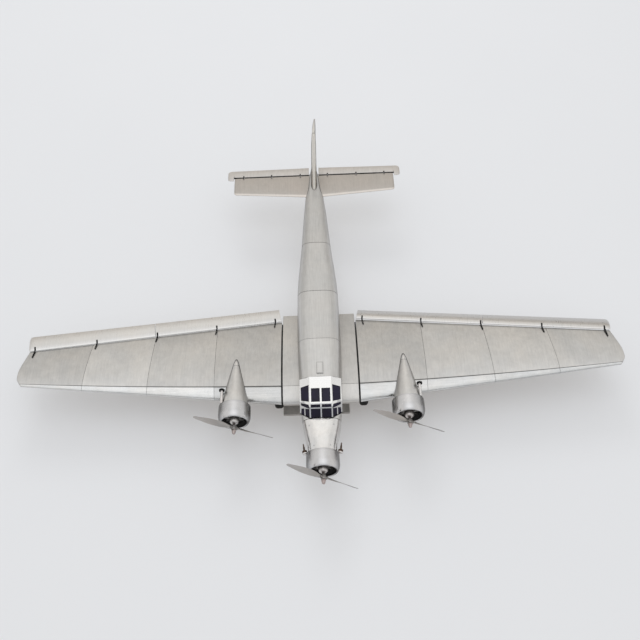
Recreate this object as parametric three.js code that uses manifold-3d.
// Three-engined propeller transport aeroplane, 1:32 display model in sheet aluminium.
// Millimetres. +X to the aircraft's left (port) side, +Y aft, +Z up. The origin is on the centre
// plane, in the middle of the lower face of the foot's plate fore and aft.
// Full-size dimensions are in metres, turned into model millimetres by METRE and counted from
// the nose engine's thrust line in the plane of its propeller. Small model details are in
// millimetres. The assembly moves the whole model to the origin on the foot.
// Paired pieces are built for the port side (+X) and mirrored for the starboard side.
import * as THREE from 'three';
import { mergeVertices } from 'three/addons/utils/BufferGeometryUtils.js';
import Module from 'manifold-3d';

const wasm = await Module();
wasm.setup();

// ---------------------------------------------------------------- driving dimensions
const METRE = 1000 / 32;          // model millimetres per full-size metre
const GAP = 0.3;                  // clearance between neighbouring pieces, mm
const HALF_GAP = GAP / 2 / METRE; // half of it in full-size metres
const WALL = 1.2;                 // sheet shell thickness, mm
const SIDES = [1, -1];            // sign of x: port, starboard

// Fuselage joints along y, and the lowest belly line
const NOSE_JOINT = 2.72;
const AFT_JOINT = 9.65;
const CONE_JOINT = 12.91;
const BELLY_Z = -1.22;

// Wing; noses and tails are the [y, z] ends of a chord line
const JOINT_X = 1.84;             // plane where the outer wing meets the centre section
const JOINT_SLOT = 0.07;          // open slot between them
const TIP_X = 14.55;              // half span
const WING = {
  rootNose: [4.10, -0.66], rootTail: [9.03, -0.885],
  tipNose: [5.31, -0.10], tipTail: [7.27, -0.172],
  rootThick: 0.158, tipThick: 0.125,         // fraction of the chord
};
const CENTRE_TAIL = [9.46, -0.95];           // trailing edge of the centre section
const CENTRE_THICK = 0.146;
const SPLIT_ROOT = 0.158, SPLIT_TIP = 0.048; // chord fraction where the nose skin ends
const SPLIT_GAP = 0.0016;                    // chord fraction left open on each side of the split
const FRONT_SPAR = { radius: 4.6, wall: 1.0, y: 5.35, z: -0.640 }; // radius and wall in mm
const REAR_SPAR = { radius: 3.6, wall: 0.9, y: 7.25, z: -0.740 };
const SPAR_HALF_LENGTH = 3.2;

// Flaps and ailerons on one hinge line per side
const HINGE_INNER = [2.00, 9.205, -0.895];
const HINGE_OUTER = [14.02, 7.505, -0.185];
const FLAP_CHORD_INNER = 0.80, FLAP_CHORD_OUTER = 0.91;
const FLAP_THICK = 0.17;
const FLAP_HINGE_FRACTION = 0.17; // chord fraction ahead of the hinge line
const FLAP_INCIDENCE = 4.5 * Math.PI / 180;
const FLAP_SPLIT = 0.515;         // fraction of the hinge line where flap ends and aileron starts
const FLAP_INNER_X = 1.93, AILERON_OUTER_X = 14.28;
const FLAP_END_GAP = 0.35;        // mm, on each side of the flap and aileron split
const DROOP = { port: 18, stbd: 0 }; // degrees the surfaces hang below their neutral line
const ARM_X = [2.22, 5.16, 8.10, 11.04, 14.00];
const ARM_LEAN = 0.28;            // sideways lean of the arms, as a slope
const ARM_LEAN_START = -4.2;      // mm from the hinge line; the arms lean ahead of here
const ARM_WIDTH = 1.5;            // mm
const ROD_RADIUS = 0.55, ROD_BORE = 0.85, EYE_RADIUS = 1.15; // mm

// Engines and propellers; angles turn the propeller discs, radians
const WING_ENGINE = { x: 4.046, y: 2.733, z: -0.232 };
const ENGINES = [
  ['nose', 0, 0, 0, -0.73],
  ['stbd', -WING_ENGINE.x, WING_ENGINE.y, WING_ENGINE.z, -0.587],
  ['port', WING_ENGINE.x, WING_ENGINE.y, WING_ENGINE.z, -0.602],
];
const ENGINE_SETBACK = 0.26;      // engine origin behind the propeller plane
const CYLINDER_COUNT = 9;
const COWL = { radius: 0.757, lip: 0.585, front: 0.255, length: 0.80 };
const PROP_RADIUS = 2.06;
const HUB_FRONT = -0.125;
const SHAFT_RADIUS = 1.3;         // mm

// Canopy
const SILL = 0.395;
const CANOPY_TOP = 0.925;
const CANOPY_REAR = 4.60;
const CANOPY_HALF_WIDTH = 0.965;
const CANOPY_WALL = 0.7;          // mm; the frame is thinner than the skins
const GLAZING_WALL = 1.0;         // mm
const PANE_REACH = 2.2;           // mm a pane opening reaches to each side of its facet

// Tail
const TAIL_Z = 0.42;
const TAIL_HALF_SPAN = 4.42;
const STAB_NOSE_ROOT = 16.44, STAB_NOSE_TIP = 16.83, STAB_TAIL = 18.072;
const STAB_TAPER_SPAN = 4.36;     // x where the leading edge would reach STAB_NOSE_TIP
const ELEVATOR_HINGE_Y = 18.177;
const ELEVATOR_INNER = 0.27, ELEVATOR_OUTER = 4.80;
const TAIL_ARM_X = [0.76, 2.36, 3.92];
const TUBE_RADIUS = 1.0;          // elevator torque tube, mm
const TAIL_ROD_RADIUS = 0.5, TAIL_ROD_BORE = 0.80; // mm
const FIN_LEAN = 2.0;             // degrees off upright, towards port
const FIN_FOOT_Z = 0.60;          // height the fin leans about
const RUDDER_Y = 19.00;           // rudder hinge line
const RUDDER_SET = -5;            // degrees
const RUDDER_ARM_Z = [0.30, 1.30, 2.40];
const FIN_TO_HINGE = 0.125;
const FIN_TAIL = RUDDER_Y - FIN_TO_HINGE;

// Undercarriage and foot
const WHEEL = { x: 2.076, y: 5.26, z: -1.85, radius: 0.60, width: 0.43 };
const LEG_TOP_Y = 5.35;
const AXLE_RADIUS = 1.5;          // mm
const TAIL_WHEEL = { y: 16.95, z: -0.60, radius: 0.20, trail: 0.12 };
const FOOT = { x: [-1.90, 1.38], y: [4.60, 5.10], z: -2.66, thick: 0.14 };

// ---------------------------------------------------------------- materials
const finish = (settings) => () => new THREE.MeshStandardMaterial(settings);
const alloy = finish({ color: 0xc2beb8, roughness: 0.38, metalness: 0.9 });
const bright = finish({ color: 0xe2dfda, roughness: 0.18, metalness: 1.0 });
const steel = finish({ color: 0x8d8a85, roughness: 0.35, metalness: 1.0 });
const black = finish({ color: 0x17171a, roughness: 0.5, metalness: 0.2 });
const propellerMetal = finish({ color: 0xb9b2aa, roughness: 0.32, metalness: 1.0 });
const engineMetal = finish({ color: 0x3b3a3c, roughness: 0.45, metalness: 0.7 });
const darkGlass = finish({ color: 0x34303b, roughness: 0.08, metalness: 0.0 });
const dullGrey = finish({ color: 0x8c8782, roughness: 0.6, metalness: 0.3 });
const rubber = finish({ color: 0x151515, roughness: 0.85, metalness: 0 });

// ---------------------------------------------------------------- helpers
const vec = (x, y, z) => new THREE.Vector3(x, y, z);
// full-size metres to model millimetres, as a point and as a list of numbers
const point = (x, y, z) => vec(x, y, z).multiplyScalar(METRE);
const toModel = (numbers) => numbers.map((value) => value * METRE);
const lerp = (start, end, t) => start + (end - start) * t;
const around = (centre, half) => [centre - half, centre + half];
const join = (...pieces) => pieces.reduce((whole, piece) => whole.add(piece));
const cut = (piece, ...tools) => tools.reduce((rest, tool) => rest.subtract(tool), piece);

// closed solid from a three.js geometry, wound so that its volume is positive
function solid(geometry) {
  const bare = geometry.clone();
  bare.deleteAttribute('normal');
  bare.deleteAttribute('uv');
  const merged = mergeVertices(bare, 1e-4);
  const spots = new Float32Array(merged.attributes.position.array);
  const index = merged.index.array;
  const corners = [];
  for (let i = 0; i < index.length; i += 3) {
    const [first, second, third] = index.slice(i, i + 3);
    if (first !== second && second !== third && first !== third) {
      corners.push(first, second, third);
    }
  }
  let volume = 0;
  for (let i = 0; i < corners.length; i += 3) {
    const [first, second, third] = [0, 1, 2].map((k) => vec().fromArray(spots, corners[i + k] * 3));
    volume += first.dot(second.cross(third));
  }
  if (volume < 0) {
    for (let i = 0; i < corners.length; i += 3) {
      [corners[i], corners[i + 1]] = [corners[i + 1], corners[i]];
    }
  }
  return new wasm.Manifold(new wasm.Mesh({
    numProp: 3,
    vertProperties: spots,
    triVerts: new Uint32Array(corners),
  }));
}

// three.js geometry of a solid
function geometryOf(piece) {
  const mesh = piece.getMesh();
  const geometry = new THREE.BufferGeometry();
  const spots = new Float32Array(mesh.vertProperties);
  geometry.setAttribute('position', new THREE.BufferAttribute(spots, 3));
  geometry.setIndex(new THREE.BufferAttribute(new Uint32Array(mesh.triVerts), 1));
  geometry.computeVertexNormals();
  return geometry;
}

const mirrored = (piece) => solid(geometryOf(piece).scale(-1, 1, 1));
const shifted = (piece, x, y, z) => solid(geometryOf(piece).translate(x, y, z));

// ruled solid through closed rings that all have the same number of points
function loft(rings) {
  const count = rings[0].length;
  const rows = rings.length - 1;
  const geometry = new THREE.CylinderGeometry(1, 1, 1, count, rows, false);
  const spots = geometry.attributes.position;
  const centres = rings.map((ring) => (
    ring.reduce((sum, spot) => sum.add(spot), vec(0, 0, 0)).multiplyScalar(1 / count)));
  for (let i = 0; i < spots.count; i++) {
    const x = spots.getX(i), z = spots.getZ(i);
    const row = Math.round((0.5 - spots.getY(i)) * rows);
    const around360 = Math.round(Math.atan2(x, z) / (2 * Math.PI) * count);
    const isCapCentre = Math.hypot(x, z) < 0.5;
    const spot = isCapCentre ? centres[row] : rings[row][((around360 % count) + count) % count];
    spots.setXYZ(i, spot.x, spot.y, spot.z);
  }
  return solid(geometry);
}

// box between [low, high] spans in millimetres, and the same in full-size metres
function box([x0, x1], [y0, y1], [z0, z1]) {
  const geometry = new THREE.BoxGeometry(x1 - x0, y1 - y0, z1 - z0);
  return solid(geometry.translate((x0 + x1) / 2, (y0 + y1) / 2, (z0 + z1) / 2));
}
const metreBox = (...spans) => box(...spans.map(toModel));

// round bar between two points, and bars along each axis
function bar(start, end, radius, segments, endRadius = radius) {
  const run = end.clone().sub(start);
  const length = run.length();
  const turn = new THREE.Quaternion().setFromUnitVectors(vec(0, 1, 0), run.normalize());
  const geometry = new THREE.CylinderGeometry(endRadius, radius, length, segments);
  geometry.translate(0, length / 2, 0);
  geometry.applyQuaternion(turn);
  return solid(geometry.translate(start.x, start.y, start.z));
}
const barX = (x0, x1, radius, segments, y = 0, z = 0) => (
  bar(vec(x0, y, z), vec(x1, y, z), radius, segments));
const barY = (y0, y1, radius, segments) => bar(vec(0, y0, 0), vec(0, y1, 0), radius, segments);
const barZ = (z0, z1, radius, segments) => bar(vec(0, 0, z0), vec(0, 0, z1), radius, segments);

function lathe(profile, segments) {
  return new THREE.LatheGeometry(profile.map((pair) => new THREE.Vector2(...pair)), segments);
}

// body of revolution about Y; profile is [radius, y] points closed on itself or on the axis
const turned = (profile, segments) => solid(lathe(profile, segments));

// ring about X, alike on both sides; side lists [radius, half width] from bore to rim
function turnedAboutX(side, segments, y = 0, z = 0) {
  const left = side.map(([radius, half]) => [radius, -half]);
  const geometry = lathe([...left, ...[...side].reverse(), left[0]], segments);
  geometry.rotateZ(-Math.PI / 2);
  return solid(geometry.translate(0, y, z));
}

// flat plate with a [y, z] outline, centred on x
function plate(points, x, width) {
  const shape = new THREE.Shape(points.map((pair) => new THREE.Vector2(...pair)));
  const options = { depth: width, bevelEnabled: false, steps: 1 };
  const geometry = new THREE.ExtrudeGeometry(shape, options);
  const spots = geometry.attributes.position;
  for (let i = 0; i < spots.count; i++) {
    spots.setXYZ(i, x - width / 2 + spots.getZ(i), spots.getX(i), spots.getY(i));
  }
  return solid(geometry);
}

// cut away everything on the side a normal points to
function clip(piece, spot, normal, size = 400) {
  const geometry = new THREE.BoxGeometry(size, size, size);
  geometry.translate(0, 0, size / 2);
  geometry.applyQuaternion(
    new THREE.Quaternion().setFromUnitVectors(vec(0, 0, 1), normal.clone().normalize()),
  );
  return piece.subtract(solid(geometry.translate(spot.x, spot.y, spot.z)));
}

// ---------------------------------------------------------------- airfoil
const CAMBER = 0.018;            // greatest camber, and the chord fraction where it lies
const CAMBER_AT = 0.4;

// half thickness at chord fraction x; tail is the half thickness added at the trailing edge
function halfThickness(x, thick, tail = 0.004) {
  const shape = 0.2969 * Math.sqrt(x) - 0.126 * x - 0.3516 * x * x
    + 0.2843 * x ** 3 - 0.1036 * x ** 4;
  return 5 * thick * shape + tail * x;
}

function camber(x) {
  const rise = 2 * CAMBER_AT * x - x * x;
  return x < CAMBER_AT
    ? (CAMBER / CAMBER_AT ** 2) * rise
    : (CAMBER / (1 - CAMBER_AT) ** 2) * (1 - 2 * CAMBER_AT + rise);
}

// fractions from 1 down to 0, closer together at both ends
const cosineSteps = (steps) => (
  Array.from({ length: steps + 1 }, (_, i) => 0.5 * (1 + Math.cos(Math.PI * i / steps))));

// cambered outline between two chord fractions, as [x, z] in chord units.
// skin moves the surface outwards (mm), or inwards when negative.
function outline(chord, thick, from, to, steps, skin = 0, tail = 0.004) {
  const offset = skin / chord;
  const fractions = cosineSteps(steps);
  const at = (fraction, side) => {
    const x = from + (to - from) * fraction;
    return [x, camber(x) + side * (halfThickness(x, thick, tail) + offset)];
  };
  const upper = fractions.map((fraction) => at(fraction, 1));
  const lower = fractions.map((fraction) => at(fraction, -1)).reverse();
  if (from > 0) return [...upper, ...lower];
  return [...upper.slice(0, -1), [-offset, 0], ...lower.slice(1)];
}

// outline without camber
function plainOutline(thick, tail) {
  const upper = cosineSteps(8).map((x) => [x, halfThickness(x, thick, tail)]);
  return [...upper, ...upper.slice(0, -1).reverse().map(([x, half]) => [x, -half])];
}

// ring of 3-D points at span x; nose and tail are [y, z] in model millimetres
function section(x, nose, tail, points) {
  const dy = tail[0] - nose[0], dz = tail[1] - nose[1];
  const chord = Math.hypot(dy, dz);
  const alongY = dy / chord, alongZ = dz / chord;
  return points.map(([along, up]) => vec(
    x,
    nose[0] + alongY * along * chord - alongZ * up * chord,
    nose[1] + alongZ * along * chord + alongY * up * chord,
  ));
}

// ---------------------------------------------------------------- fuselage
// stations: y, half width, top z, bottom z, roundness exponent
const BODY = [
  [0.98, 0.640, 0.62, -0.64, 2.0],
  [1.35, 0.670, 0.585, -0.74, 2.1],
  [2.00, 0.775, 0.505, -0.93, 2.4],
  [NOSE_JOINT, 0.885, 0.400, -1.10, 2.8],
  [3.30, 0.935, 0.93, -1.17, 3.4],
  [4.62, 0.985, 0.93, BELLY_Z, 3.8],
  [7.20, 1.045, 0.925, BELLY_Z, 3.9],
  [AFT_JOINT, 1.020, 0.885, -1.10, 3.8],
  [CONE_JOINT, 0.770, 0.755, -0.63, 3.4],
  [16.40, 0.500, 0.610, -0.13, 3.0],
  [18.85, 0.115, 0.545, 0.13, 2.6],
];
const BODY_POINTS = 28;

// station at y, between or beyond the listed ones
function bodyAt(y) {
  let i = 0;
  while (i < BODY.length - 2 && y > BODY[i + 1][0]) i++;
  const before = BODY[i], after = BODY[i + 1];
  const t = (y - before[0]) / (after[0] - before[0]);
  return before.map((value, k) => lerp(value, after[k], t));
}

function bodyRing(y, inset) {
  const [, halfWidth, top, bottom, roundness] = bodyAt(y);
  const width = halfWidth * METRE - inset;
  const height = (top - bottom) / 2 * METRE - inset;
  const centreZ = (top + bottom) / 2 * METRE;
  const bulge = (value) => Math.sign(value) * Math.abs(value) ** (2 / roundness);
  return Array.from({ length: BODY_POINTS }, (_, i) => {
    const angle = 2 * Math.PI * (i + 0.5) / BODY_POINTS;
    return vec(
      width * bulge(Math.cos(angle)), y * METRE, centreZ + height * bulge(Math.sin(angle)),
    );
  });
}
const bodyLoft = (stations, inset) => loft(stations.map((y) => bodyRing(y, inset)));

// hollow skin through stations. The hollow reaches past each end by the given lengths; a negative
// length leaves that end closed.
function shell(stations, frontReach = 0.05, rearReach = 0.05) {
  const hollow = [
    stations[0] - frontReach, ...stations.slice(1, -1), stations.at(-1) + rearReach,
  ];
  return cut(bodyLoft(stations, 0), bodyLoft(hollow, WALL));
}

// nose skin with the solid disc that closes its front
function noseFairing() {
  const disc = [[0, 0.80], [0.54, 0.80], [0.60, 0.90], [0.60, 0.985], [0, 0.985]];
  return join(
    shell([0.98, 1.35, 2.0, NOSE_JOINT - HALF_GAP]),
    turned(disc.map(toModel), 24),
  );
}

// cabin skin, open for the centre wing section and the canopy
function cabinShell() {
  const reach = 0.04 + HALF_GAP;
  const stations = [NOSE_JOINT + HALF_GAP, 3.30, 4.62, 7.2, AFT_JOINT - HALF_GAP];
  return cut(
    shell(stations, reach, reach),
    centreLoft(CENTRE_HALF_SPAN + 0.2, 0, 1.01, GAP),
    box(
      toModel([-1.3, 1.3]),
      [2.2 * METRE, CANOPY_REAR * METRE + GAP],
      [SILL * METRE - GAP, 2 * METRE],
    ),
  );
}

const aftShell = () => shell([AFT_JOINT + HALF_GAP, CONE_JOINT - HALF_GAP]);

// tail cone, slotted for the stabilizer and bored for the elevators' torque tube
function tailCone() {
  const slots = [-GAP, 0, GAP].map((rise) => loft([-1, 1].map((x) => (
    tailRing(x, STAB_NOSE_ROOT - 0.03, STAB_TAIL + 0.03, 0.117, TAIL_Z + rise / METRE)))));
  return cut(
    shell([CONE_JOINT + HALF_GAP, 16.4, 18.85], 0.05, -0.12),
    join(...slots),
    barX(
      -METRE, METRE, TUBE_RADIUS + 2 * GAP, 12, ELEVATOR_HINGE_Y * METRE, TAIL_Z * METRE,
    ),
  );
}

const roofHatch = () => {
  const bottom = 0.931 * METRE + GAP;
  return box(toModel([-0.16, 0.16]), toModel([4.76, 5.40]), [bottom, bottom + 0.8]);
};

// ---------------------------------------------------------------- canopy
// plane through three points, its normal on the side of outward
function facet(corner, second, third, outward) {
  const normal = second.clone().sub(corner).cross(third.clone().sub(corner)).normalize();
  if (normal.dot(outward) < 0) normal.negate();
  return { corner, normal };
}
const screenFacet = facet(
  point(-0.5, 2.70, SILL), point(0.5, 2.70, SILL), point(0, 3.19, CANOPY_TOP), vec(0, -1, 1),
);
// beside the screen
const cornerFacet = (side) => facet(
  point(side * 0.5, 2.70, SILL), point(side * 0.96, 2.95, SILL),
  point(side * 0.5, 3.19, CANOPY_TOP), vec(side, -1, 1),
);
// above and behind the corner facet
const crownFacet = (side) => facet(
  point(side * 0.96, 2.95, SILL), point(side * 0.95, 3.44, 0.71),
  point(side * 0.5, 3.19, CANOPY_TOP), vec(side, -1, 1),
);
// between the flat roof and the side wall
const slantFacet = (side) => facet(
  point(side * 0.5, 3.0, CANOPY_TOP), point(side * 0.5, 4.0, CANOPY_TOP),
  point(side * 0.955, 3.5, 0.70), vec(side, 0, 1),
);

// canopy block, inset in mm on every face but the bottom
function canopyBlock(inset) {
  const facets = [screenFacet, ...[cornerFacet, crownFacet, slantFacet].flatMap(
    (facetOf) => SIDES.map(facetOf))];
  const block = box(
    around(0, CANOPY_HALF_WIDTH * METRE - inset),
    [2.5 * METRE, CANOPY_REAR * METRE - inset],
    [SILL * METRE, CANOPY_TOP * METRE - inset],
  );
  return facets.reduce((piece, { corner, normal }) => (
    clip(piece, corner.clone().addScaledVector(normal, -inset), normal)), block);
}

// prism through a facet, cutting a pane opening
function pane(corners, normal) {
  return loft([PANE_REACH, -PANE_REACH].map((reach) => (
    corners.map((corner) => corner.clone().addScaledVector(normal, reach)))));
}

// puts a spot onto a facet by solving one coordinate, which comes in as zero
function onFacet({ corner, normal }, spot, axis) {
  spot[axis] = corner.clone().sub(spot).dot(normal) / normal[axis];
  return spot;
}
// pane with corners given as [x, z], or as [x, y] for the second function
const paneFromFront = (face, side, corners) => pane(
  corners.map(([x, z]) => onFacet(face, point(side * x, 0, z), 'y')), face.normal,
);
const paneFromAbove = (face, side, corners) => pane(
  corners.map(([x, y]) => onFacet(face, point(side * x, y, 0), 'z')), face.normal,
);
const rectangle = ([u0, u1], [v0, v1]) => [[u0, v0], [u1, v0], [u1, v1], [u0, v1]];

const ROOF_PANES_X = [[-0.440, -0.040], [0.040, 0.440]];
const ROOF_PANES_Y = [3.265, 3.985];
const SCREEN_PANES_X = [[-0.470, -0.030], [0.030, 0.470]];
const SCREEN_ROWS_Z = [[0.425, 0.738], [0.778, 0.885]];
const SIDE_PANE_Y = [3.42, 4.30];
const SIDE_PANE_Z = [0.44, 0.66];
const SLANT_PANE = [[0.540, 3.29], [0.903, 3.46], [0.915, 4.16], [0.540, 4.18]];   // x, y
const CORNER_PANES = [                                                             // x, z
  [[0.530, 0.430], [0.720, 0.425], [0.720, 0.672], [0.530, 0.722]],
  [[0.765, 0.425], [0.915, 0.425], [0.915, 0.600], [0.765, 0.660]],
];
const CROWN_PANE = [[0.540, 0.770], [0.905, 0.640], [0.905, 0.695], [0.560, 0.862]]; // x, z

function paneOpenings() {
  const roof = ROOF_PANES_X.map((xSpan) => pane(
    rectangle(xSpan, ROOF_PANES_Y).map(([x, y]) => point(x, y, CANOPY_TOP)), vec(0, 0, 1),
  ));
  const slants = SIDES.map((side) => paneFromAbove(slantFacet(side), side, SLANT_PANE));
  const screen = SCREEN_ROWS_Z.flatMap((zSpan) => SCREEN_PANES_X.map((xSpan) => (
    paneFromFront(screenFacet, 1, rectangle(xSpan, zSpan)))));
  const corners = SIDES.flatMap((side) => [
    ...CORNER_PANES.map((corners) => paneFromFront(cornerFacet(side), side, corners)),
    paneFromFront(crownFacet(side), side, CROWN_PANE),
  ]);
  const walls = [-1, 1].map((side) => pane(
    rectangle(SIDE_PANE_Y, SIDE_PANE_Z).map(([y, z]) => point(side * CANOPY_HALF_WIDTH, y, z)),
    vec(side, 0, 0),
  ));
  return [...roof, ...slants, ...screen, ...corners, ...walls];
}

// the boxes in the frame and the glazing clear their open undersides
function canopyFrame() {
  return cut(
    canopyBlock(0),
    canopyBlock(CANOPY_WALL),
    metreBox([-0.85, 0.85], [3.1, 4.45], [SILL - 0.1, SILL + 0.1]),
    ...paneOpenings(),
  );
}

function canopyGlazing() {
  return cut(
    canopyBlock(CANOPY_WALL + GAP),
    canopyBlock(CANOPY_WALL + GAP + GLAZING_WALL),
    metreBox([-0.80, 0.80], [3.2, 4.40], [SILL - 0.1, SILL + 0.15]),
  );
}

// ---------------------------------------------------------------- wing
const CENTRE_HALF_SPAN = JOINT_X - JOINT_SLOT / 2;
const OUTER_START_X = JOINT_X + JOINT_SLOT / 2;
const WING_STEPS = 12;

// centre section between two chord fractions
function centreLoft(halfSpan, from, to, skin) {
  const nose = toModel(WING.rootNose), tail = toModel(CENTRE_TAIL);
  const chord = Math.hypot(tail[0] - nose[0], tail[1] - nose[1]);
  const points = outline(chord, CENTRE_THICK, from, to, 14, skin);
  return loft([-halfSpan, halfSpan].map((x) => section(x * METRE, nose, tail, points)));
}

// hollow box through the belly
function wingCentre() {
  return cut(
    centreLoft(CENTRE_HALF_SPAN, 0, 1, 0),
    centreLoft(CENTRE_HALF_SPAN + 0.1, 0.05, 0.78, -WALL),
  );
}

// chord line of the outer wing at full-size span station x, in model millimetres
function wingAt(x) {
  const t = (x - JOINT_X) / (TIP_X - JOINT_X);
  const between = (root, tip) => toModel([lerp(root[0], tip[0], t), lerp(root[1], tip[1], t)]);
  const nose = between(WING.rootNose, WING.tipNose);
  const tail = between(WING.rootTail, WING.tipTail);
  return {
    nose,
    tail,
    chord: Math.hypot(tail[0] - nose[0], tail[1] - nose[1]),
    thick: lerp(WING.rootThick, WING.tipThick, t),
  };
}

// chord fraction where the nose skin ends
const noseSplit = (x) => lerp(SPLIT_ROOT, SPLIT_TIP, (x - JOINT_X) / (TIP_X - JOINT_X));

// part of the outer wing; fromAt and toAt give the chord fractions at span x
function wingLoft(fromAt, toAt, skin = 0, span = [OUTER_START_X, TIP_X]) {
  return loft(span.map((x) => {
    const { nose, tail, chord, thick } = wingAt(x);
    const points = outline(chord, thick, fromAt(x), toAt(x), WING_STEPS, skin);
    return section(x * METRE, nose, tail, points);
  }));
}

// wing tip, clipped obliquely at the tail and at the nose
function tipCut(piece) {
  const tailClipped = clip(piece, point(14.20, 7.40, 0), vec(0.965, 0.262, 0));
  return clip(tailClipped, point(14.50, 5.55, 0), vec(0.80, -0.60, 0));
}

function outerWing() {
  const hollow = wingLoft((x) => noseSplit(x) + 0.03, () => 0.76, -WALL,
    [OUTER_START_X - 0.1, 13.2]);
  return tipCut(cut(wingLoft((x) => noseSplit(x) + SPLIT_GAP, () => 1), hollow));
}

const leadingEdge = () => tipCut(wingLoft(() => 0, (x) => noseSplit(x) - SPLIT_GAP));

// spar tubes carried through the centre section into both outer wings
function sparTube({ radius, wall, y, z }) {
  const half = SPAR_HALF_LENGTH * METRE;
  return turnedAboutX([[radius - wall, half], [radius, half]], 20, y * METRE, z * METRE);
}
const sparHole = ({ radius, y, z }) => (
  barX(-3.7 * METRE, 3.7 * METRE, radius + GAP, 20, y * METRE, z * METRE));

// section plate recessed in the slot between centre section and outer wing
function jointRib() {
  const { nose, tail, chord, thick } = wingAt(OUTER_START_X);
  const points = outline(chord, thick, 0.02, 0.97, 12, -0.9);
  const halfWidth = (JOINT_SLOT - 0.02) / 2;
  const rings = around(JOINT_X, halfWidth).map((x) => section(x * METRE, nose, tail, points));
  return cut(loft(rings), sparHole(FRONT_SPAR), sparHole(REAR_SPAR));
}

// ---------------------------------------------------------------- flaps and ailerons
// Frame of the port hinge line: X' along it outboard, Y' aft, Z' up.
const hingeInner = point(...HINGE_INNER);
const hingeOuter = point(...HINGE_OUTER);
const hingeLength = hingeOuter.distanceTo(hingeInner);
const hingeAlong = hingeOuter.clone().sub(hingeInner).normalize();
const hingeAft = vec(0, 1, 0).addScaledVector(hingeAlong, -hingeAlong.y).normalize();
const hingeUp = hingeAlong.clone().cross(hingeAft).normalize();
const toHingeFrame = new THREE.Matrix4()
  .makeBasis(hingeAlong, hingeAft, hingeUp)
  .setPosition(hingeInner)
  .invert();
// full-size span station to distance along the hinge, mm
const alongHinge = (x) => (x * METRE - hingeInner.x) / hingeAlong.x;
const armPlaces = ARM_X.map(alongHinge);

function flapRing(place, scale = 1) {
  const fullChord = lerp(FLAP_CHORD_INNER, FLAP_CHORD_OUTER, place / hingeLength) * METRE;
  const chord = fullChord * scale;
  const runY = chord * Math.cos(FLAP_INCIDENCE), dropZ = chord * Math.sin(FLAP_INCIDENCE);
  const nose = [-FLAP_HINGE_FRACTION * runY, FLAP_HINGE_FRACTION * dropZ];
  const tail = [nose[0] + runY, nose[1] - dropZ];
  return section(place, nose, tail, outline(chord, FLAP_THICK, 0, 1, 10, 0, 0.012));
}

// hinged surface, bored for the rod and notched for the arms
function hingedSurface(start, end, endRings) {
  const boreEnd = Math.min(end + 2, armPlaces.at(-1) + 1.6);
  const notches = armPlaces
    .filter((place) => place > start - 3 && place < end + 3)
    .map((place) => box(around(place, ARM_WIDTH / 2 + 0.45), [-12, 1.55], [-6, 6]));
  return cut(
    loft([flapRing(start), ...endRings]),
    barX(start - 2, boreEnd, ROD_BORE, 12),
    ...notches,
  );
}

function flap() {
  const end = FLAP_SPLIT * hingeLength - FLAP_END_GAP;
  return hingedSurface(alongHinge(FLAP_INNER_X), end, [flapRing(end)]);
}

// aileron, its outer end tapering off
function aileron() {
  const end = alongHinge(AILERON_OUTER_X);
  const endRings = [flapRing(end - 5), flapRing(end - 1.6, 0.93), flapRing(end, 0.72)];
  return hingedSurface(FLAP_SPLIT * hingeLength + FLAP_END_GAP, end, endRings);
}

// arm from the wing's upper skin to an eye on the rod; back is how far ahead of the wing's
// trailing edge it starts, mm. Returns its straight rear part and its leaning front part.
function hingeArm(x, back) {
  const place = alongHinge(x);
  const { nose, tail, chord, thick } = wingAt(x);
  const aboveSkin = (fraction, lift) => {
    const height = camber(fraction) + halfThickness(fraction, thick);
    const [spot] = section(x * METRE, nose, tail, [[fraction, height]]);
    return spot.setZ(spot.z + lift).applyMatrix4(toHingeFrame);
  };
  const start = aboveSkin(1 - back / chord, 0.6);
  const edge = aboveSkin(1, 0.75);
  const whole = plate([
    [start.y, start.z], [edge.y + 0.4, edge.z], [Math.min(edge.y + 1.3, -2.0), 0.1],
    [0, -EYE_RADIUS + 0.1], [EYE_RADIUS, 0], [0.9, 1.0], [-0.6, 2.0], [-2.2, 2.5],
    [edge.y - 0.5, edge.z + 1.5], [start.y, start.z + 0.9],
  ], place, ARM_WIDTH);
  const bend = vec(place, ARM_LEAN_START, 0);
  const front = geometryOf(clip(whole, bend, vec(0, 1, 0), 60));
  const spots = front.attributes.position;
  for (let i = 0; i < spots.count; i++) {
    spots.setX(i, spots.getX(i) + ARM_LEAN * (ARM_LEAN_START - spots.getY(i)));
  }
  return [clip(whole, bend, vec(0, -1, 0), 60), solid(front)];
}

// hinge rod with its arms; the outermost arm is longer
function hingeArms() {
  const last = ARM_X.length - 1;
  return join(
    barX(armPlaces[0] - 1.2, armPlaces[last] + 1.1, ROD_RADIUS, 10),
    ...ARM_X.flatMap((x, i) => hingeArm(x, i === last ? 13 : 10.5)),
  );
}

// ---------------------------------------------------------------- engines
// radial engine: crankcase with cylinders around it, bored for the shaft
function engine() {
  const crankcase = [
    [0, -0.06], [0.10, -0.055], [0.155, 0.02], [0.20, 0.12], [0.235, 0.20], [0.235, 0.50],
    [0, 0.50],
  ];
  const cylinders = Array.from({ length: CYLINDER_COUNT }, (_, i) => {
    const angle = Math.PI / 2 + (2 * Math.PI * i) / CYLINDER_COUNT;
    const at = (radius) => point(radius * Math.cos(angle), 0.34, radius * Math.sin(angle));
    return bar(at(0.15), at(0.60), 0.090 * METRE, 8, 0.072 * METRE);
  });
  return cut(
    join(turned(crankcase.map(toModel), 16), ...cylinders),
    barY(-0.2 * METRE, 0.42 * METRE, 1.75, 16),
  );
}

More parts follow.
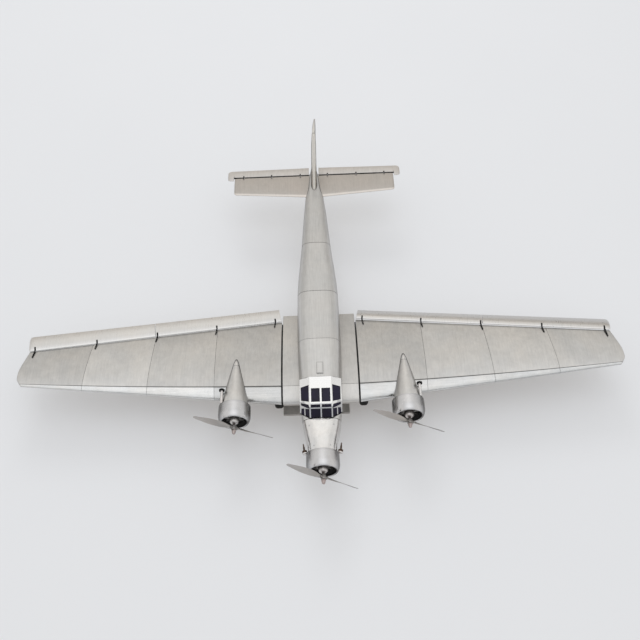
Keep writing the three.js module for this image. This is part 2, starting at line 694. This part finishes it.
function cowl() {
  const { radius: outer, lip, length } = COWL;
  // radius and y in metres, then millimetres added to the radius
  const profile = [
    [lip, 0.035], [lip, 0.008, 0.5], [lip + 0.035, 0], [lip + 0.085, 0.022],
    [outer - 0.03, 0.13], [outer, 0.32], [outer - 0.01, length],
    [outer - 0.01, length, -1.0], [outer, 0.32, -1.1], [outer - 0.03, 0.15, -1.3],
    [lip + 0.02, 0.075], [lip, 0.035],
  ];
  return turned(profile.map(([radius, y, extra = 0]) => [radius * METRE + extra, y * METRE]), 32);
}

// stations: radius, chord, thickness, blade angle in degrees from the plane of rotation
const BLADE = [
  [0.06, 0.10, 0.095, 62], [0.20, 0.12, 0.085, 58], [0.42, 0.205, 0.055, 50],
  [0.75, 0.285, 0.036, 40], [1.15, 0.290, 0.026, 31], [1.55, 0.235, 0.020, 25],
  [1.86, 0.150, 0.016, 21], [2.00, 0.085, 0.013, 19], [PROP_RADIUS, 0.028, 0.010, 18],
];

// ring of the blade that points along +X
function bladeSection([radius, chord, thick, degrees]) {
  const pitch = degrees * Math.PI / 180;
  return Array.from({ length: 10 }, (_, i) => {
    const angle = (2 * Math.PI * i) / 10;
    const thinning = Math.cos(angle) > 0 ? 0.8 : 1;
    const along = 0.5 * chord * Math.cos(angle) * METRE;
    const across = 0.5 * thick * Math.sin(angle) * METRE * thinning;
    return vec(
      radius * METRE,
      along * Math.sin(pitch) + across * Math.cos(pitch),
      -along * Math.cos(pitch) + across * Math.sin(pitch),
    );
  });
}

// two twisted blades on a bored hub
function propeller() {
  const blade = loft(BLADE.map(bladeSection));
  const hub = [
    [0, HUB_FRONT], [0.105, HUB_FRONT], [0.125, -0.09], [0.125, 0.09], [0.105, 0.115], [0, 0.115],
  ];
  return cut(
    join(blade, solid(geometryOf(blade).rotateY(Math.PI)), turned(hub.map(toModel), 20)),
    barY(-0.3 * METRE, 0.3 * METRE, SHAFT_RADIUS + GAP, 14),
  );
}

// shaft with its collar and the spinner nut on the front
function propellerShaft() {
  const nutFront = [
    [0, -0.345], [0.045, -0.335], [0.078, -0.29], [0.085, -0.23], [0.115, -0.21],
  ];
  const nutRear = HUB_FRONT * METRE - GAP;
  const nut = [...nutFront.map(toModel), [0.115 * METRE, nutRear], [0, nutRear]];
  return join(barY(-0.20 * METRE, 0.36 * METRE, SHAFT_RADIUS, 14), turned(nut, 16));
}

// stations of the nacelle cone: y, radius
const NACELLE = [
  [3.533, 0.50], [3.60, 0.57], [3.78, 0.625], [4.10, 0.595], [4.65, 0.485], [5.30, 0.345],
  [5.90, 0.215], [6.30, 0.120], [6.48, 0.055],
];

// cone lying in the wing's nose, cut to the wing's surface
function nacelle() {
  const rings = NACELLE.map(([y, radius]) => {
    const z = lerp(WING_ENGINE.z, -0.30, Math.max(0, (y - 3.6) / 2.9));
    return Array.from({ length: 28 }, (_, i) => {
      const angle = (2 * Math.PI * i) / 28;
      return point(WING_ENGINE.x + radius * Math.cos(angle), y, z + radius * Math.sin(angle));
    });
  });
  const clearance = GAP + 0.1;
  const span = [2.4, 6.2];
  const wingNose = wingLoft(() => 0, (x) => noseSplit(x) * 1.05, clearance, span);
  const wingRear = wingLoft((x) => noseSplit(x) * 0.9, () => 1, clearance, span);
  const parts = cut(loft(rings), join(shifted(wingNose, 0, -clearance, 0), wingRear)).decompose();
  // the cut leaves loose pieces; only the largest stays
  return parts.sort((one, other) => other.volume() - one.volume())[0];
}

// exhaust stub on a wing engine's outboard shoulder: pipe, end flange and a tapered end.
// x is counted from the engine's centre.
function wingExhaust() {
  // y from, y to, radius, segments, end radius
  const bars = [
    [3.81, 4.51, 0.064, 14, 0.064], [4.49, 4.565, 0.135, 18, 0.135], [4.55, 4.63, 0.045, 10, 0.03],
  ];
  const at = (y) => point(0.585, y, 0.135);
  return join(...bars.map(([from, to, radius, segments, endRadius]) => (
    bar(at(from), at(to), radius * METRE, segments, endRadius * METRE))));
}

// exhaust stub beside the nose engine
function noseExhaust() {
  return join(
    bar(point(0.80, 1.13, 0), point(0.86, 1.62, 0.03), 0.040 * METRE, 10, 0.018 * METRE),
    bar(point(0.785, 1.13, 0), point(0.815, 1.30, 0.01), 0.115 * METRE, 14, 0.105 * METRE),
  );
}

// ---------------------------------------------------------------- tail
// horizontal surface's ring at span x
function tailRing(x, noseY, tailY, thick, z) {
  const chord = (tailY - noseY) * METRE;
  return plainOutline(thick, 0.02).map(([along, up]) => (
    vec(x * METRE, noseY * METRE + along * chord, z * METRE + up * chord)));
}

function stabilizer() {
  const spans = [-TAIL_HALF_SPAN, -4.30, -2.0, 0, 2.0, 4.30, TAIL_HALF_SPAN];
  return loft(spans.map((x) => {
    const noseY = lerp(STAB_NOSE_ROOT, STAB_NOSE_TIP, Math.abs(x) / STAB_TAPER_SPAN);
    return Math.abs(x) === TAIL_HALF_SPAN
      ? tailRing(x, noseY + 0.10, STAB_TAIL - 0.02, 0.085, TAIL_Z)
      : tailRing(x, noseY, STAB_TAIL, 0.115, TAIL_Z);
  }));
}

// elevator about its own hinge line, with a horn at the outer end
function elevator() {
  const nose = -0.085;
  const tailAt = (x) => (
    lerp(0.54, 0.48, (x - ELEVATOR_INNER) / (ELEVATOR_OUTER - ELEVATOR_INNER)));
  // span x, nose y, tail y, thickness as a fraction of the chord
  const blade = [
    [ELEVATOR_INNER, nose, tailAt(ELEVATOR_INNER), 0.20],
    [2.5, nose, tailAt(2.5), 0.195],
    [4.60, nose, tailAt(4.6), 0.185],
    [4.74, nose + 0.015, tailAt(4.74) - 0.05, 0.15],
    [ELEVATOR_OUTER, nose + 0.06, tailAt(ELEVATOR_OUTER) - 0.15, 0.11],
  ];
  const horn = [
    [4.475, -0.25, 0.30, 0.17], [4.70, -0.25, 0.30, 0.16], [4.79, -0.19, 0.25, 0.12],
  ];
  const [bladeSolid, hornSolid] = [blade, horn].map((stations) => (
    loft(stations.map((station) => tailRing(...station, 0)))));
  return cut(
    join(bladeSolid, hornSolid),
    barX(0.62 * METRE, 4.06 * METRE, TAIL_ROD_BORE, 12),
    barX(0.1 * METRE, 0.56 * METRE, TUBE_RADIUS + GAP / 2, 12), // socket for the torque tube
    ...TAIL_ARM_X.map((x) => box(around(x * METRE, 1.0), [-9, 1.5], [-6, 6])),
  );
}

const torqueTube = () => barX(-0.53 * METRE, 0.53 * METRE, TUBE_RADIUS, 12);

// outline of an elevator hinge arm: y, z in mm from the hinge line
const TAIL_ARM = [
  [-6.2, 1.85], [-3.6, 1.45], [-2.2, -0.2], [0, -1.0], [1.05, 0], [0.95, 1.1], [0.6, 2.3],
  [-2.0, 2.7], [-6.0, 2.55],
];
function tailHingeArms() {
  return join(
    barX(0.70 * METRE, 3.99 * METRE, TAIL_ROD_RADIUS, 10),
    ...TAIL_ARM_X.map((x) => plate(TAIL_ARM, x * METRE, 1.1)),
  );
}

// fin ring: nearly parallel-sided with an elliptical nose
function finRing([z, noseY, tailY, half]) {
  const steps = 9, noseSteps = 5;
  const chord = tailY - noseY;
  const noseLength = Math.min(0.45, 0.6 * chord);
  const widthAt = (along) => (along < noseLength
    ? half * Math.sqrt(Math.max(0, 1 - (1 - along / noseLength) ** 2))
    : half * (1 - 0.3 * (along - noseLength) / (chord - noseLength)));
  const stepAt = (i) => (i <= noseSteps
    ? noseLength * (1 - Math.cos(Math.PI / 2 * i / noseSteps))
    : lerp(noseLength, chord, (i - noseSteps) / (steps - noseSteps)));
  const at = (i, side) => point(side * widthAt(stepAt(i)), noseY + stepAt(i), z);
  const ring = [];
  for (let i = steps; i > 0; i--) ring.push(at(i, 1));
  ring.push(point(0, noseY, z));
  for (let i = 1; i <= steps; i++) ring.push(at(i, -1));
  return ring;
}

// fin stations: z, nose y, tail y, half thickness in metres
const FIN = [
  [0.48, 16.75, FIN_TAIL, 0.145],
  [1.20, 17.32, FIN_TAIL, 0.143],
  [2.30, 18.19, FIN_TAIL, 0.130],
  [2.86, 18.63, FIN_TAIL, 0.100],
  [2.96, 18.74, FIN_TAIL - 0.02, 0.060],
];
// tapered blade standing on the tail cone, clear of its skin
const fin = () => cut(loft(FIN.map(finRing)), bodyLoft([16.0, 16.4, 18.85, 19.2], -GAP));

// rudder stations about its hinge line: z, nose y, tail y, thickness as a fraction of the chord
const RUDDER = [
  [0.02, -0.02, 0.74, 0.15], [0.10, -0.085, 0.86, 0.185], [0.7, -0.09, 0.94, 0.18],
  [1.6, -0.09, 0.98, 0.17], [2.60, -0.09, 0.99, 0.155], [2.96, -0.08, 0.90, 0.13],
  [3.08, 0.02, 0.68, 0.12], [3.16, 0.20, 0.48, 0.12],
];
const RUDDER_HORN = [
  [3.02, -0.29, 0.60, 0.15], [3.09, -0.16, 0.62, 0.13], [3.17, 0.10, 0.48, 0.12],
];
function rudderRing([z, noseY, tailY, thick]) {
  const chord = (tailY - noseY) * METRE;
  return plainOutline(thick, 0.03).map(([along, out]) => (
    vec(out * chord, noseY * METRE + along * chord, z * METRE)));
}

function rudder() {
  return cut(
    join(loft(RUDDER.map(rudderRing)), loft(RUDDER_HORN.map(rudderRing))),
    barZ(-0.1 * METRE, 2.70 * METRE, TAIL_ROD_BORE, 12),
    ...RUDDER_ARM_Z.map((z) => box([-9, 9], [-9, 1.5], around(z * METRE, 1.2))),
  );
}

// pin with the arms that reach towards the fin
function rudderPin() {
  const armSpan = [-FIN_TO_HINGE * METRE + GAP, 0.9];
  return join(
    barZ(0.20 * METRE, 2.50 * METRE, TAIL_ROD_RADIUS, 10),
    ...RUDDER_ARM_Z.map((z) => box([-0.75, 0.75], armSpan, around(z * METRE, 0.75))),
  );
}

// ---------------------------------------------------------------- undercarriage
const axle = point(WHEEL.x, WHEEL.y, WHEEL.z);
const wheelRadius = WHEEL.radius * METRE;
const wheelHalf = WHEEL.width * METRE / 2;
const RIM = 0.56;                // where the hub ends, as a fraction of the wheel radius

function tyre() {
  // fractions of the wheel's radius and half width
  const side = [[RIM, 0.72], [0.70, 0.98], [0.86, 0.92], [0.96, 0.62], [1, 0.25]];
  return turnedAboutX(side.map(([out, across]) => [out * wheelRadius, across * wheelHalf]), 30);
}

function wheelHub() {
  // radius in mm, fraction of the wheel's half width
  const side = [
    [1.75, 0.95], [3.2, 0.95], [4.2, 0.6], [wheelRadius * 0.50, 0.5],
    [wheelRadius * RIM - GAP, 0.66],
  ];
  return turnedAboutX(side.map(([radius, across]) => [radius, across * wheelHalf]), 20);
}

// height of the wing's lower surface, mm
function wingUnderside(x, y) {
  const { nose, tail, chord, thick } = wingAt(x);
  const fraction = (y * METRE - nose[0]) / (tail[0] - nose[0]);
  const height = camber(fraction) - halfThickness(fraction, thick);
  return lerp(nose[1], tail[1], fraction) + height * chord;
}

// leg, axle and head plate on the outboard side
function gearLeg() {
  const legX = axle.x + wheelHalf + 3.6;
  const topY = LEG_TOP_Y * METRE;
  const topZ = wingUnderside(legX / METRE, LEG_TOP_Y) - GAP - 0.25;
  const onAxle = (x0, x1, radius) => barX(x0, x1, radius, 14, axle.y, axle.z);
  return join(
    bar(vec(legX, axle.y, axle.z), vec(legX, topY, topZ - 1.2), 2.0, 14, 2.6),
    bar(vec(legX, topY, topZ - 2.6), vec(legX, topY, topZ), 4.2, 18),
    onAxle(axle.x - wheelHalf - 4.2, legX + 2.4, AXLE_RADIUS),
    onAxle(legX - 2.2, legX + 2.2, 2.9),
  );
}

// inboard V brace from an eye on the axle to a strip under the belly
function gearBrace() {
  const eyeX = axle.x - wheelHalf - 2.6;
  const bellyZ = BELLY_Z * METRE;
  const eye = cut(
    barX(eyeX - 1.1, eyeX + 1.1, 3.3, 16, axle.y, axle.z),
    barX(eyeX - 4, eyeX + 4, AXLE_RADIUS + GAP, 14, axle.y, axle.z),
  );
  const strut = (offsetY, footY) => bar(
    vec(eyeX - 0.2, axle.y + offsetY, axle.z + 2.3),
    vec(0.62 * METRE, footY * METRE, bellyZ - 0.9),
    1.15, 10,
  );
  const strip = box(toModel([0.54, 0.72]), toModel([4.2, 6.2]),
    [bellyZ - 1.9, bellyZ - GAP - 0.1]);
  return join(eye, strut(-1.4, 4.35), strut(1.4, 6.05), strip);
}

// the fork turns about a vertical line ahead of the tail wheel, under the tail cone
const forkY = TAIL_WHEEL.y - TAIL_WHEEL.trail;
const forkTop = bodyAt(forkY)[3] * METRE - 0.6;
const trail = TAIL_WHEEL.trail * METRE;
const tailAxleZ = TAIL_WHEEL.z * METRE - forkTop;

function tailFork() {
  const prongs = [-1, 1].map((side) => {
    const level = (y0, y1, z) => rectangle([2.7, 3.6], [y0, y1]).map(([x, y]) => vec(side * x, y, z));
    return loft([
      level(-1.2, trail + 1.2, -4.0),
      level(trail - 1.6, trail + 1.6, tailAxleZ - 1.6),
    ]);
  });
  return join(
    barZ(-3.4, 0, 1.5, 14),
    barZ(-1.0, 0, 2.8, 16),
    box([-3.6, 3.6], [-1.4, trail + 1.2], [-5.2, -3.2]),
    ...prongs,
    barX(-3.9, 3.9, 0.8, 10, trail, tailAxleZ),
  );
}

function tailWheel() {
  return turnedAboutX([
    [1.05, 1.7], [2.0, 1.7], [2.4, 1.9], [4.6, 2.1], [5.8, 1.5],
    [TAIL_WHEEL.radius * METRE, 0.5],
  ], 18);
}

// ---------------------------------------------------------------- foot
// plate below the belly and the post that carries the model on it
function bellyFoot() {
  return join(
    metreBox(FOOT.x, FOOT.y, [FOOT.z, FOOT.z + FOOT.thick]),
    box(
      toModel([-0.34, 0.34]),
      toModel(FOOT.y),
      [(FOOT.z + 0.05) * METRE, BELLY_Z * METRE - GAP - 0.25],
    ),
  );
}

// ---------------------------------------------------------------- assembly
const { degToRad } = THREE.MathUtils;

function add(parent, name, piece, material) {
  const mesh = new THREE.Mesh(geometryOf(piece), material());
  mesh.name = name;
  parent.add(mesh);
  return mesh;
}
function addGroup(parent, x = 0, y = 0, z = 0) {
  const group = new THREE.Group();
  group.position.set(x, y, z);
  parent.add(group);
  return group;
}

const root = new THREE.Group();

function addEngines() {
  const propellerSolid = propeller();
  const shaftSolid = propellerShaft();
  const engineSolid = engine();
  const cowlSolid = cowl();
  for (const [tag, x, y, z, angle] of ENGINES) {
    const mount = addGroup(root, ...toModel([x, y, z]));
    const spin = addGroup(mount);
    spin.rotation.y = -angle;
    add(spin, `propeller_${tag}`, propellerSolid, propellerMetal);
    add(spin, `propeller_shaft_${tag}`, shaftSolid, steel);
    add(addGroup(mount, 0, ENGINE_SETBACK * METRE), `engine_${tag}`, engineSolid, engineMetal);
    add(addGroup(mount, 0, COWL.front * METRE), `cowl_${tag}`, cowlSolid, alloy);
  }
}

function addAirframe() {
  const airframe = addGroup(root);
  const pieces = [
    ['nose_fairing', noseFairing(), bright],
    ['cabin_shell', cabinShell(), alloy],
    ['aft_shell', aftShell(), alloy],
    ['tail_cone', tailCone(), alloy],
    ['canopy_frame', canopyFrame(), bright],
    ['canopy_glazing', canopyGlazing(), darkGlass],
    ['roof_hatch', roofHatch(), alloy],
    ['wing_centre', wingCentre(), alloy],
    ['spar_front', sparTube(FRONT_SPAR), steel],
    ['spar_rear', sparTube(REAR_SPAR), steel],
    ['belly_foot', bellyFoot(), dullGrey],
    ['stabilizer', stabilizer(), alloy],
  ];
  for (const piece of pieces) add(airframe, ...piece);
}

// everything that comes in port and starboard pairs
function addPairs() {
  const jointX = JOINT_X * METRE;
  const wingPieces = [
    ['wing_outer', outerWing(), alloy],
    ['leading_edge', leadingEdge(), bright],
    ['joint_rib', jointRib(), black],
    ['nacelle', nacelle(), alloy],
    ['gear_leg', gearLeg(), steel],
    ['gear_brace', gearBrace(), steel],
  ].map(([name, piece, material]) => [name, shifted(piece, -jointX, 0, 0), material]);
  const wingExhaustPieces = [['exhaust_wing', wingExhaust(), black]];
  const noseExhaustPieces = [['exhaust_nose', noseExhaust(), black]];
  const armPieces = [['hinge_arms', hingeArms(), black]];
  const surfacePieces = [['flap', flap(), bright], ['aileron', aileron(), bright]];
  const elevatorPieces = [
    ['elevator', elevator(), alloy],
    ['tail_hinge_arms', tailHingeArms(), black],
  ];
  const tyreSolid = tyre();
  const hubSolid = wheelHub();

  for (const [tag, side] of [['port', 1], ['stbd', -1]]) {
    const addSide = (parent, pieces) => pieces.map(([name, piece, material]) => (
      add(parent, `${name}_${tag}`, side > 0 ? piece : mirrored(piece), material)));

    addSide(addGroup(root, side * jointX), wingPieces);
    const [exhaust] = addSide(root, wingExhaustPieces);
    exhaust.position.x = side * WING_ENGINE.x * METRE;
    addSide(root, noseExhaustPieces);

    const line = addGroup(root, side * hingeInner.x, hingeInner.y, hingeInner.z);
    line.quaternion.setFromRotationMatrix(new THREE.Matrix4().makeBasis(
      hingeAlong.clone().multiply(vec(1, side, side)),
      hingeAft.clone().multiply(vec(side, 1, 1)),
      hingeUp.clone().multiply(vec(side, 1, 1)),
    ));
    addSide(line, armPieces);
    const droop = addGroup(line);
    droop.rotation.x = -degToRad(DROOP[tag]);
    addSide(droop, surfacePieces);

    const wheel = addGroup(root, side * axle.x, axle.y, axle.z);
    add(wheel, `tyre_${tag}`, tyreSolid, rubber);
    add(wheel, `wheel_hub_${tag}`, hubSolid, alloy);

    addSide(addGroup(root, 0, ELEVATOR_HINGE_Y * METRE, TAIL_Z * METRE), elevatorPieces);
  }
}

function addTail() {
  const tube = add(root, 'elevator_torque_tube', torqueTube(), steel);
  tube.position.set(0, ELEVATOR_HINGE_Y * METRE, TAIL_Z * METRE);

  const footZ = FIN_FOOT_Z * METRE;
  const lean = addGroup(root, 0, 0, footZ);
  lean.rotation.y = degToRad(FIN_LEAN);
  add(addGroup(lean, 0, 0, -footZ), 'fin', fin(), alloy);
  const post = addGroup(lean, 0, RUDDER_Y * METRE, -footZ);
  add(post, 'rudder_pin', rudderPin(), steel);
  const swing = addGroup(post);
  swing.rotation.z = degToRad(RUDDER_SET);
  add(swing, 'rudder', rudder(), alloy);

  const caster = addGroup(root, 0, forkY * METRE, forkTop);
  add(caster, 'tail_fork', tailFork(), steel);
  add(addGroup(caster, 0, trail, tailAxleZ), 'tail_wheel', tailWheel(), rubber);
}

addEngines();
addAirframe();
addPairs();
addTail();

// the origin goes to the lower face of the foot's plate
root.position.set(0, -(FOOT.y[0] + FOOT.y[1]) / 2 * METRE, -FOOT.z * METRE);
const model = new THREE.Group();
model.add(root);

export default model;
